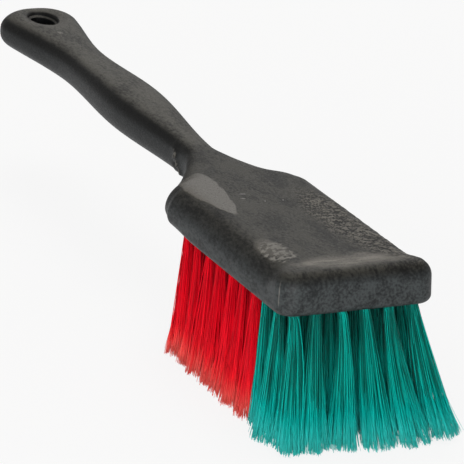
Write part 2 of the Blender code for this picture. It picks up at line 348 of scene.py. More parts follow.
@dataclass(frozen=True)
class Patch:
    """One oval place on the body where the skin looks different."""

    centre: Colour
    reach: Colour
    turn: float = 0.0
    taper: float = 0.0
    raggedness: float = 0.5
    grain: float = 120.0
    softness: float = 0.3

    def mask(self, wiring: Wiring, effects: Effects, place: Socket) -> Socket:
        """1 inside the patch and 0 outside, in a material."""
        inputs = {name.capitalize(): value for name, value in vars(self).items()}
        inputs |= {"Place": place, "Turn": (0.0, 0.0, self.turn)}
        return wiring.group(effects.patch, **inputs)

    def distance(self, points: Array) -> Array:
        """How far points are from the centre, where an even edge would be one away."""
        c, s = math.cos(self.turn), math.sin(self.turn)
        away = (points - self.centre) @ np.array([[c, -s, 0], [s, c, 0], [0, 0, 1]]) / self.reach
        away[..., 1] /= np.clip(1 - self.taper * away[..., 0], LEAST_WIDTH, None)
        return np.linalg.norm(away, axis=-1)


@dataclass(frozen=True)
class MouldedSkin:
    """The black moulded plastic: bluish dark, worn in patches, with painted sheen on faces that
    look up and painted shade on the handle's sides and rounded edges; the crinkles and the head's
    front top edge carry painted highlights.
    """

    # Top skin, mottled between these two: the plastic with a painted brownish sheen.
    upper_dark: Colour = (0.0105, 0.0100, 0.0088)
    upper_light: Colour = (0.056, 0.053, 0.044)
    lower_dark: Colour = (0.0115, 0.0130, 0.0136)
    lower_light: Colour = (0.0435, 0.0490, 0.0500)
    # Painted sheen on the top of the handle.
    handle_light: Colour = (0.098, 0.093, 0.080)
    # Painted highlight on the tops of the crinkles' lumps.
    lump: Colour = (0.240, 0.222, 0.190)
    # Near black: painted shade on the rounded edges and in the crinkles' pits, and the dark of the
    # weld line.
    pit: Colour = (0.004, 0.004, 0.0038)
    polish: Colour = (0.124, 0.114, 0.098)
    scuff: Colour = (0.220, 0.208, 0.185)
    scratch: Colour = (0.420, 0.410, 0.390)
    # Painted highlight along the head's front top edge.
    strip: Colour = (0.235, 0.217, 0.187)
    roughness: float = 0.50
    # Where the head's skin passes into the handle's, along X.
    handle_start: Pair = (0.045, -0.005)
    leaf: Patch = Patch(
        (0.0850, -0.0228, 0.0795), (0.0355, 0.0080, 0.0080), -0.02, 0.50, 0.42, 170.0, 0.12
    )
    smear: Patch = Patch(
        (0.1630, -0.0262, 0.0795), (0.0150, 0.0066, 0.0070), 0.10, -0.1, 0.5, 120.0, 0.40
    )
    crackle: Patch = Patch(
        (0.1690, -0.0262, 0.0795), (0.0130, 0.0072, 0.0070), 0.0, 0.0, 1.4, 260.0, 0.30
    )
    crinkle: Patch = Patch(
        (0.1440, 0.0262, 0.0790), (0.0640, 0.0215, 0.0120), 0.12, -0.40, 0.55, 60.0, 0.45
    )
    # Where the painted highlight lies along the head's front top edge.
    front: Patch = Patch(
        (0.1885, 0.0010, 0.0797), (0.0100, 0.0420, 0.0014), -0.02, 0.0, 0.9, 90.0, 0.75
    )
    corner: Patch = Patch(
        (0.1975, -0.0368, 0.0700), (0.0005, 0.0022, 0.0075), 0.7, 0.0, 0.9, 400.0, 0.9
    )
    rub: Patch = Patch(
        (-0.1624, -0.0027, 0.0862), (0.0026, 0.0018, 0.004), 0.4, 0.0, 0.9, 500.0, 0.8
    )
    line: Patch = Patch(
        (0.1484, -0.0067, 0.0797), (0.0058, 0.0003, 0.002), 1.18, 0.0, 0.3, 300.0, 0.6
    )
    scratches: tuple[Patch, ...] = (
        Patch((0.0910, -0.0088, 0.0797), (0.0022, 0.00035, 0.002), 1.31, 0.0, 0.7, 900.0, 0.5),
        Patch((0.0970, -0.0112, 0.0797), (0.0019, 0.00030, 0.002), 0.90, 0.0, 0.9, 900.0, 0.5),
        Patch((0.1040, 0.0059, 0.0797), (0.0006, 0.0005, 0.002), 0.0, 0.0, 0.5, 900.0, 0.6),
        Patch((0.1032, -0.0028, 0.0797), (0.0006, 0.0004, 0.002), 0.0, 0.0, 0.5, 900.0, 0.6),
    )

    def plain(self, wiring: Wiring, place: Socket, mottle: Socket) -> Socket:
        """The colour without the patches, from the point's place and its uneven value."""
        facing = wiring.axes(wiring.coordinate("Normal"))["Z"]
        along = wiring.axes(place)["X"]
        handle = wiring.ramp(along, *self.handle_start)
        tint = wiring.ramp(mottle, 0.38, 0.60)
        sheen_top = wiring.mix(tint, self.upper_dark, self.upper_light)
        lower = wiring.mix(tint, self.lower_dark, self.lower_light)
        # Painted shade: the handle's sides are darker than its underside, which stays lighter.
        painted_side_shade = wiring.ramp(facing, -0.80, -0.25, 0.35, 1.0)
        lower = wiring.mix(wiring.times(handle, painted_side_shade), lower, self.lower_dark)
        # Painted sheen, laid on unevenly, lightens the top of the handle.
        handle_sheen_share = wiring.ramp(mottle, 0.34, 0.64, 0.15, 1.0)
        sheen_top = wiring.mix(wiring.times(handle, handle_sheen_share), sheen_top, self.handle_light)
        # Faces that look up take the top skin: painted sheen, lighter and warmer than the sides.
        colour = wiring.mix(wiring.ramp(facing, 0.30, 0.85), lower, sheen_top)
        # Painted shade: the rounded edge between upper and lower skin is darkened, and more so on
        # the handle.
        edge = wiring.times(wiring.ramp(facing, 0.08, 0.45), wiring.ramp(facing, 0.97, 0.72))
        darkness = wiring.ramp(along, *self.handle_start, 0.42, 0.94)
        return wiring.mix(wiring.times(edge, darkness), colour, self.pit)

    def material(self, effects: Effects) -> Material:
        """Builds the finish. It reads the piece's own attributes relief, the height of its
        crinkles, and weld, which is one on the lumps of the weld line.

        Args:
            effects: the shared node groups.

        Returns:
            The material.
        """
        material, wiring, shader = new_finish("black_polypropylene_skin")
        place = wiring.coordinate("Object")
        drawn = wiring.stretched(place, (0.45, 1.0, 1.0))
        mottle = wiring.group(effects.mottle, Place=drawn, Coarse=110.0, Fine=800.0, Share=0.5)
        names = ("leaf", "smear", "crackle", "crinkle", "front", "rub", "line", "corner")
        masks = {name: getattr(self, name).mask(wiring, effects, place) for name in names}
        # Painted highlight along the head's front top edge, broken into streaks.
        streaks = wiring.noise(wiring.stretched(place, (1.0, 0.22, 1.0)), 420.0, 4.0)
        highlight_streaks = wiring.times(masks["front"], wiring.ramp(streaks, 0.32, 0.60, 0.50, 1.0))
        grains = wiring.ramp(wiring.noise(place, 900.0), 0.34, 0.66, -0.28, 0.28)
        # The crinkles are painted light on their tops and dark in their pits: painted highlight and
        # painted shade.
        lumps = wiring.ramp(wiring.plus(wiring.attribute("relief"), grains), -0.10, 0.36)
        flaked = wiring.times(masks["crackle"], wiring.ramp(wiring.noise(place, 400.0), 0.45, 0.53))
        weld = wiring.plus(wiring.attribute("weld"), grains)
        colour = self.plain(wiring, place, mottle)
        layers = [
            (1.0, highlight_streaks, self.strip),
            (0.85, masks["crinkle"], wiring.mix(lumps, self.pit, self.lump)),
            (0.75, masks["smear"], self.polish),
            (1.0, flaked, self.scuff),
            (1.0, masks["leaf"], self.polish),
            (0.8, masks["rub"], self.scuff),
            (0.5, masks["line"], self.polish),
            (0.6, masks["corner"], self.scuff),
            (0.8, wiring.ramp(weld, 0.15, 0.45), self.pit),
            (0.5, wiring.ramp(weld, 0.60, 1.00), self.scuff),
        ]
        for mark in self.scratches:
            layers.append((1.0, mark.mask(wiring, effects, place), self.scratch))
        for share, mask, tint in layers:
            colour = wiring.mix(wiring.times(share, mask), colour, tint)

        grain = wiring.noise(place, 1500.0)
        rough = wiring.ramp(grain, 0.3, 0.7, self.roughness - 0.08, self.roughness + 0.10)
        height = wiring.times(grain, 0.15)
        crinkled = wiring.times(grains, masks["crinkle"])
        for share, part in ((0.8, mottle), (1.6, crinkled), (0.5, flaked), (0.35, masks["leaf"])):
            height = wiring.plus(height, wiring.times(share, part))
        bump = {"Strength": 0.55, "Distance": 0.0006, "Height": height}
        inputs = {
            "Base Color": colour,
            "Roughness": wiring.maths("SUBTRACT", rough, wiring.times(masks["leaf"], 0.16)),
            "Metallic": 0.0,
            "IOR": 1.49,
            "Specular IOR Level": 0.22,
            "Normal": wiring.node("Bump", bump)["Normal"],
        }
        wiring.feed(shader, inputs)
        return material


@dataclass(frozen=True)
class FilamentFinish:
    """The finish of one colour of bristle: streaked along its length, paler at its frayed tips."""

    name: str
    slot: str
    shadow: Colour
    deep: Colour
    full: Colour
    bright: Colour
    frayed: Colour
    smoothest: float = 0.32
    roughest: float = 0.48

    def material(self, effects: Effects) -> Material:
        """Builds the finish from the piece's own attributes along and shade.

        Args:
            effects: the shared node groups.

        Returns:
            The material.
        """
        material, wiring, shader = new_finish(self.name)
        place = wiring.coordinate("Object")
        along, shade = wiring.attribute("along"), wiring.attribute("shade")
        mottle = wiring.group(effects.mottle, Place=place, Coarse=90.0, Fine=700.0, Share=0.3)
        tone = wiring.plus(shade, wiring.times(mottle, 0.5))
        colour = wiring.mix(wiring.ramp(tone, 0.30, 1.15), self.deep, self.full)
        colour = wiring.mix(wiring.ramp(tone, -0.60, 0.35), self.shadow, colour)
        lower = wiring.ramp(wiring.plus(along, wiring.times(tone, 0.18)), 0.62, 1.12)
        colour = wiring.mix(lower, colour, self.bright)
        tips = wiring.ramp(wiring.plus(along, wiring.times(shade, 0.14)), 0.84, 1.14)
        inputs = {
            "Base Color": wiring.mix(tips, colour, self.frayed),
            "Roughness": wiring.ramp(mottle, 0.3, 0.7, self.smoothest, self.roughest),
            "Metallic": 0.0,
            "Specular IOR Level": 0.06,
        }
        wiring.feed(shader, inputs)
        return material


class Bristle(Enum):
    """The two colours of bristle."""

    RED = FilamentFinish(
        name="red_polyester_filament",
        slot="red_bristle",
        shadow=(0.12, 0.000, 0.003),
        deep=(0.62, 0.001, 0.010),
        full=(0.96, 0.003, 0.018),
        bright=(0.98, 0.014, 0.028),
        frayed=(0.98, 0.170, 0.140),
    )
    GREEN = FilamentFinish(
        name="green_polyester_filament",
        slot="green_bristle",
        shadow=(0.000, 0.012, 0.010),
        deep=(0.000, 0.120, 0.093),
        full=(0.000, 0.450, 0.370),
        bright=(0.000, 0.520, 0.470),
        frayed=(0.060, 0.620, 0.570),
    )


@dataclass(frozen=True)
class Fineness:
    """How finely the moulded body is divided."""

    quarter: int = 20
    front: int = 18
    run: int = 8
    head: int = 140
    flare: int = 76
    handle: int = 90
    end: int = 24
    hole: int = 72
    rim: int = 10
    over: int = 112
    tuft_hole: int = 12
    sharp_angle: float = math.radians(40.0)


@dataclass
class Head:
    """The sizes of the head that the moulding and the tufts share."""

    front_x: float
    underside: float = 0.0600
    head_length: float = 0.1305
    head_width: float = 0.0766


@dataclass
class MouldedBody(Head):
    """The head, neck and handle in one moulding, with its hanging hole and tuft holes."""

    head_thickness: float = 0.0197
    corner_radius: float = 0.0090
    bottom_radius: float = 0.0035
    shoulder_bottom_radius: float = 0.0058
    shoulder_run: float = 0.0300
    draft: float = 0.0008
    front_top_radius: float = 0.0076
    side_top_radius: float = 0.0138
    radius_run: float = 0.0114
    handle_length: float = 0.2898
    # Distance back from the shoulders, width, thickness, and height of the middle.
    neck: Four = (0.0529, 0.0175, 0.0185, 0.0116)
    swell: Four = (0.1375, 0.0300, 0.0229, 0.0142)
    waist: Four = (0.2033, 0.0243, 0.0194, 0.0152)
    end: Four = (0.2898, 0.0449, 0.0215, 0.0168)
    end_rounding: float = 0.0207
    end_edge_share: float = 0.35
    fullness: float = 2.4
    # Along the flare: shares of its length, and of its width beyond the neck's that are left.
    flare_shares: tuple[Pair, ...] = (
        (0.08, 0.962), (0.17, 0.926), (0.31, 0.705), (0.50, 0.421), (0.77, 0.147)
    )  # fmt: skip
    section_blend_share: float = 0.60
    hole_from_end: float = 0.0226
    hole_width: float = 0.0138
    hole_length: float = 0.0240
    hole_rim: float = 0.0022
    hole_flash: float = 0.0010
    rim_angle: float = math.radians(68)
    # The shallow dish round the hole: how far ahead of the hole its middle is, depth and reach.
    dish_ahead: float = 0.0020
    dish_depth: float = 0.0021
    dish_reach: Pair = (0.0200, 0.0130)
    tuft_hole_diameter: float = 0.0056
    tuft_hole_depth: float = 0.0120
    overrun: float = 0.0020
    fineness: Fineness = Fineness()
    # Lumps of the weld line round the neck: place and height of each, all one radius.
    lumps: tuple[Four, ...] = (
        (0.0080, -0.0080, 0.0790, 0.0006), (0.0088, -0.0086, 0.0760, 0.0011),
        (0.0100, -0.0088, 0.0742, 0.0008), (0.0106, -0.0088, 0.0724, 0.0013),
        (0.0123, -0.0088, 0.0708, 0.0007), (0.0132, -0.0088, 0.0690, 0.0014),
        (0.0146, -0.0084, 0.0674, 0.0010), (0.0150, -0.0078, 0.0656, 0.0014),
        (0.0160, -0.0064, 0.0640, 0.0012), (0.0096, -0.0088, 0.0690, -0.0010),
        (0.0118, -0.0084, 0.0664, -0.0008), (0.0070, -0.0084, 0.0668, 0.0009),
        (0.0090, -0.0074, 0.0648, 0.0015), (0.0125, -0.0066, 0.0636, 0.0012),
    )  # fmt: skip
    lump_radius: float = 0.0013
    crinkle: Patch = MouldedSkin.crinkle
    # The crinkles' cells: how many are drawn each way, their two sizes, and the share of each.
    crinkle_cells: int = 64
    crinkle_sizes: Pair = (0.0030, 0.0030 * 0.55)
    crinkle_shares: Pair = (0.7, 0.3)
    crinkle_height: float = 0.00055
    seed: int = 3

    @property
    def front_depth(self) -> float:
        """How far behind the front face its roundings end."""
        return max(self.corner_radius, self.front_top_radius, self.bottom_radius)

    def plan_half(self, depth: Array, inset: Array) -> Array:
        """Half the width of the head's plan at a depth behind its front face.

        Behind the corners it is half the head's width less the inset. In a corner it is the corner
        circle's centre plus the reach of a circle of the corner radius less the inset.
        """
        half = self.head_width / 2
        ahead = np.clip(self.corner_radius - depth, 0.0, None)
        reach = np.sqrt(np.clip((self.corner_radius - inset) ** 2 - ahead**2, 0.0, None))
        return np.where(ahead > 0, half - self.corner_radius + reach, half - inset)

    def head_quarters(self, depth: Array) -> Quarters:
        """Half widths and heights of the head's top and bottom edges, a row for each depth.

        Each edge is an arc from the wall round to the flat, cut off where its inset meets the
        depth, so that the front face is rounded in the same way as the sides.
        """
        depth = depth[:, None]
        opening = self.side_top_radius - self.front_top_radius
        top = self.front_top_radius + opening * rise((depth - self.front_depth) / self.radius_run)
        deepening = rise((depth - self.head_length + self.shoulder_run) / self.shoulder_run)
        bottom = self.bottom_radius + (self.shoulder_bottom_radius - self.bottom_radius) * deepening
        quarters = []
        for radius, middle, up in ((top, self.head_thickness - top, 1), (bottom, bottom, -1)):
            turn = np.arccos(np.clip(1.0 - depth / radius, 0.0, 1.0))
            angle = turn * np.linspace(0, 1, self.fineness.quarter)
            height = middle + up * radius * np.sin(angle)
            half = self.plan_half(depth, radius * (1 - np.cos(angle)))
            quarters.append((half - self.draft * height / self.head_thickness, height))
        return quarters

    def handle_sizes(self, distance: Array) -> list[Array]:
        """Half width, thickness and height of the middle along the handle, as columns.

        Each is a smooth curve through its values at the shoulders, neck, swell, waist and end, and
        the half width also passes through the shares of the flare.
        """
        head = (0.0, self.head_width, self.head_thickness, self.head_thickness / 2)
        marks = zip(head, self.neck, self.swell, self.waist, self.end)
        stops, widths, thicknesses, middles = marks
        wide, *halves = (width / 2 for width in widths)
        flare = [
            (share * stops[1], halves[0] + (wide - halves[0]) * left)
            for share, left in self.flare_shares
        ]
        outline = zip((0.0, wide), *flare, *zip(stops[1:], halves))
        curves = (outline, (stops, thicknesses), (stops, middles))
        return [smooth_curve(*curve, distance)[:, None] for curve in curves]

    def square_quarters(self, half: Array, thickness: Array, middle: Array) -> Quarters:
        """The head's rounded section carried back along the flare as it grows narrower.

        Both edges are quarter circles of the head's radii, or smaller where the section is.
        """
        top = np.minimum(self.side_top_radius, np.minimum(half, thickness - self.bottom_radius))
        bottom = np.minimum(self.shoulder_bottom_radius, np.minimum(half, thickness - top))
        angle = np.linspace(0, math.pi / 2, self.fineness.quarter)
        quarters = []
        for radius, up in ((top, 1), (bottom, -1)):
            height = middle + up * (thickness / 2 - radius + radius * np.sin(angle))
            lean = self.draft * (height - middle + thickness / 2) / thickness
            quarters.append((half - radius * (1 - np.cos(angle)) - lean, height))
        return quarters

    def oval_quarters(self, half: Array, thickness: Array, middle: Array) -> Quarters:
        """The handle's section: an oval a little fuller than an ellipse.

        Its points are the half width times a power of the cosine, and half the thickness times the
        same power of the sine.
        """
        count = self.fineness.quarter
        angle = math.pi / 2 * (np.arange(count) + 0.5) / count
        across, above = (part(angle) ** (2 / self.fullness) for part in (np.cos, np.sin))
        return [(half * across, middle + up * thickness / 2 * above) for up in (1, -1)]

    def rings(self, quarters: Quarters, depth: Array) -> Array:
        """Whole rings of points from the quarters of one side, mirrored to the other.

        Over the top the points are spread evenly: each ring's path is read at equal shares of its
        length, with straight lines between the given points.
        """
        (top, top_height), (bottom, bottom_height) = quarters
        over = np.concatenate([[top, top_height], [-top[:, ::-1], top_height[:, ::-1]]], axis=2)
        steps = np.hypot(*np.diff(over))
        run = np.concatenate([np.zeros((len(steps), 1)), np.cumsum(steps, axis=1)], axis=1)
        share = np.linspace(0, 1, self.fineness.over)
        across, height = (
            [np.interp(share * path[-1], path, values) for path, values in zip(run, rows)]
            for rows in over
        )
        across = np.concatenate([across, -bottom, bottom[:, ::-1]], axis=1)
        height = np.concatenate([height, bottom_height, bottom_height[:, ::-1]], axis=1)
        along = np.broadcast_to(self.front_x - depth[:, None], across.shape)
        return np.stack([along, across, self.underside + height], axis=-1)

    def surface(self) -> Array:
        """Every point of the body's skin, as rings from the front face to the handle's end.

        The first parameter is the distance behind the front face, the second runs once round the
        section. The head's section is a rounded oblong, the handle's an oval, and along the flare
        the one is mixed into the other by a smooth step.
        """
        fine, front = self.fineness, self.front_depth
        ends = front * (1 - np.cos(np.linspace(0, math.pi / 2, fine.front, endpoint=False)))
        run = front + np.linspace(0, self.radius_run, fine.run, endpoint=False)
        straight = np.linspace(front + self.radius_run, self.head_length, fine.head)
        depth = np.concatenate([ends, run, straight])
        head = self.rings(self.head_quarters(depth), depth)

        straight_end = self.handle_length - self.end_rounding
        flare = np.linspace(0, self.neck[0], fine.flare + 1)[1:]
        handle = np.linspace(self.neck[0], straight_end, fine.handle + 1)[1:]
        distance = np.concatenate([flare, handle])
        sizes = self.handle_sizes(distance)
        share = rise(distance / self.neck[0] / self.section_blend_share)[:, None]
        mixed = [
            tuple(a * (1 - share) + b * share for a, b in zip(square, oval))
            for square, oval in zip(self.square_quarters(*sizes), self.oval_quarters(*sizes))
        ]
        grip = self.rings(mixed, self.head_length + distance)

        angle = np.linspace(0, math.pi / 2, fine.end + 1)[1:]
        distance = straight_end + self.end_rounding * np.sin(angle)
        half, thickness, middle = self.handle_sizes(distance)
        closing = np.cos(angle)[:, None]
        edge = self.end_edge_share + (1 - self.end_edge_share) * closing
        closing[-1] = 0.0
        tip = self.oval_quarters(half * closing, thickness * edge, middle)
        return np.concatenate([head, grip, self.rings(tip, self.head_length + distance)])

    def normals(self, points: Array) -> Array:
        """Outward directions: the cross product of the steps round the ring and along the body."""
        around = np.roll(points, -1, axis=1) - np.roll(points, 1, axis=1)
        normal = np.cross(np.gradient(points, axis=0), around)
        return normal / np.linalg.norm(normal, axis=-1, keepdims=True).clip(1e-12)

    def crinkles(self, points: Array) -> Array:
        """The crinkled skin of the far half of the top: rounded lumps of uneven size.

        The plan is cut into square cells with one seed somewhere in each. A point's height falls
        with its distance to the nearest seed, in cells, and two sizes of cell are added. The height
        fades out over the edge of the patch.

        Args:
            points: the skin.

        Returns:
            The height at each point, from about minus a half to plus a half, and nought outside.
        """
        random = np.random.default_rng(self.seed)
        cells = self.crinkle_cells
        seeds = random.uniform(0.1, 0.9, (cells, cells, 2))
        strength = random.uniform(0.35, 1.0, (cells, cells))
        total = np.zeros(points.shape[:-1])
        for size, share in zip(self.crinkle_sizes, self.crinkle_shares):
            plan = points[..., :2] / size
            best = np.zeros(points.shape[:-1])
            for step in np.ndindex(3, 3):
                near = np.floor(plan).astype(int) + step - 1
                i, j = np.moveaxis(near % cells, -1, 0)
                apart = np.linalg.norm(plan - near - seeds[i, j], axis=-1)
                best = np.maximum(best, strength[i, j] * np.clip(1.15 - apart, 0, None))
            total += share * best
        return (total - 0.45) * rise((1.05 - self.crinkle.distance(points)) / 0.35)

    def dished(self, points: Array) -> Array:
        """Sinks the top of the handle round its hanging hole: an oval step with soft sides."""
        end = self.front_x - self.head_length - self.handle_length
        middle = (end + self.hole_from_end + self.dish_ahead, 0.0)
        apart = np.linalg.norm((points[..., :2] - middle) / self.dish_reach, axis=-1)
        above = points[..., 2] > self.underside + self.end[3]
        sunk = points.copy()
        sunk[..., 2] -= above * self.dish_depth * rise((1 - apart) / 0.5)
        return sunk

    def lumped(self, points: Array) -> tuple[Array, Array]:
        """Raises the lumps of the weld line: each moves the skin away from the neck's middle by
        its height times a bell curve of the distance to its place.

        Returns:
            The moved points, and the sum of the bell curves at each.
        """
        away = (points - (0.0, 0.0, self.underside + self.neck[3])) * (0.0, 1.0, 1.0)
        away /= np.linalg.norm(away, axis=-1, keepdims=True).clip(NEAR)
        lumps = np.array(self.lumps)
        apart = np.linalg.norm(points[..., None, :] - lumps[:, :3], axis=-1)
        bells = np.exp(-((apart / self.lump_radius) ** 2))
        return points + away * (bells @ lumps[:, 3:]), bells.sum(axis=-1)

    def skin(self) -> Mesh:
        """The closed skin of the body, before its holes, with its flat underside as one face."""
        points = self.dished(self.surface())
        relief = self.crinkles(points)
        points = points + self.normals(points) * relief[..., None] * self.crinkle_height
        points, weld = self.lumped(points)
        rings, sides = relief.shape
        faces = grid_faces(rings, sides).tolist() + [list(range(sides))]
        mesh = new_mesh("moulded_body", points, faces, relief=relief, weld=weld)
        bm = bmesh.new()
        bm.from_mesh(mesh)
        bmesh.ops.remove_doubles(bm, verts=bm.verts, dist=NEAR)
        flat = [
            face
            for face in bm.faces
            if face.normal.z < -0.999 and abs(face.calc_center_median().z - self.underside) < NEAR
        ]
        bmesh.ops.dissolve_faces(bm, faces=flat)
        bm.to_mesh(mesh)
        bm.free()
        turn_outwards(mesh)
        return mesh

    def hanging_hole(self) -> Array:
        """The cutter of the hanging hole: a turned spool whose rims are rounded, drawn out along X.

        Its profile is the wall, a thin ring of flash, an arc that turns outwards at each rim, and a
        straight run on past the handle's skin. Carried round, the distance along X is scaled by the
        hole's length over its width.
        """
        distance = self.handle_length - self.hole_from_end
        _, thickness, middle = (size.item() for size in self.handle_sizes(np.array([distance])))
        radius, rim, flash = self.hole_width / 2, self.hole_rim, self.hole_flash
        angle = np.linspace(0, self.rim_angle, self.fineness.rim)
        across = radius + rim - rim * np.cos(angle)
        above = thickness / 2 - self.dish_depth - rim + rim * np.sin(angle)
        below = above[0] - flash * np.array([1.7, 1.2, 0.7])
        beyond = 2 * self.overrun * np.array([math.sin(self.rim_angle), math.cos(self.rim_angle)])
        across = np.hstack([radius, radius - flash, radius - flash, across, across[-1] + beyond[0]])
        above = np.hstack([below, above, above[-1] + beyond[1]])
        wide = np.append(across[::-1], across)[:, None, None]
        high = np.append(above[::-1], -above)[:, None, None]
        oval = circle(self.fineness.hole) * (self.hole_length / self.hole_width, 1, 1)
        centre = (self.front_x - self.head_length - distance, 0, self.underside + middle)
        return (wide * oval + high * np.array([0, 0, 1]) + centre)[None]

    def tuft_holes(self, places: Array) -> Array:
        """The cutter of the blind tuft holes: one closed prism for each tuft."""
        levels = np.array([[0, 0, -self.overrun], [0, 0, self.tuft_hole_depth]])
        outline = circle(self.fineness.tuft_hole) * self.tuft_hole_diameter / 2
        return places[:, None, None] + levels[:, None] + outline

    def cut(self, piece: Object, name: str, points: Array) -> None:
        """Cuts closed tubes out of the piece.

        Args:
            piece: what is cut.
            name: the cutter's name.
            points: the tubes' points, by tube, by ring and by place in the ring.
        """
        cutter = new_object(name, new_mesh(name, points, tube_faces(*points.shape[:3])))
        turn_outwards(cutter.data)
        modifier = piece.modifiers.new(name, "BOOLEAN")
        modifier.operation = "DIFFERENCE"
        modifier.object = cutter
        graph = bpy.context.evaluated_depsgraph_get()
        cut = bpy.data.meshes.new_from_object(piece.evaluated_get(graph))
        piece.modifiers.clear()
        piece.data = cut
        bpy.data.objects.remove(cutter, do_unlink=True)

    def build(self, places: Array, material: Material) -> None:
        """Makes the body, cuts its holes and dresses it.

        Args:
            places: the places of the tufts' roots.
            material: its finish.
        """
        piece = new_object("moulded_body", self.skin())
        self.cut(piece, "tuft_holes", self.tuft_holes(places))
        self.cut(piece, "hanging_hole", self.hanging_hole())
        piece.data.name = "moulded_body"
        piece.data.shade_smooth()
        piece.data.set_sharp_from_angle(angle=self.fineness.sharp_angle)
        dress(piece, material, "body", "brush_body")


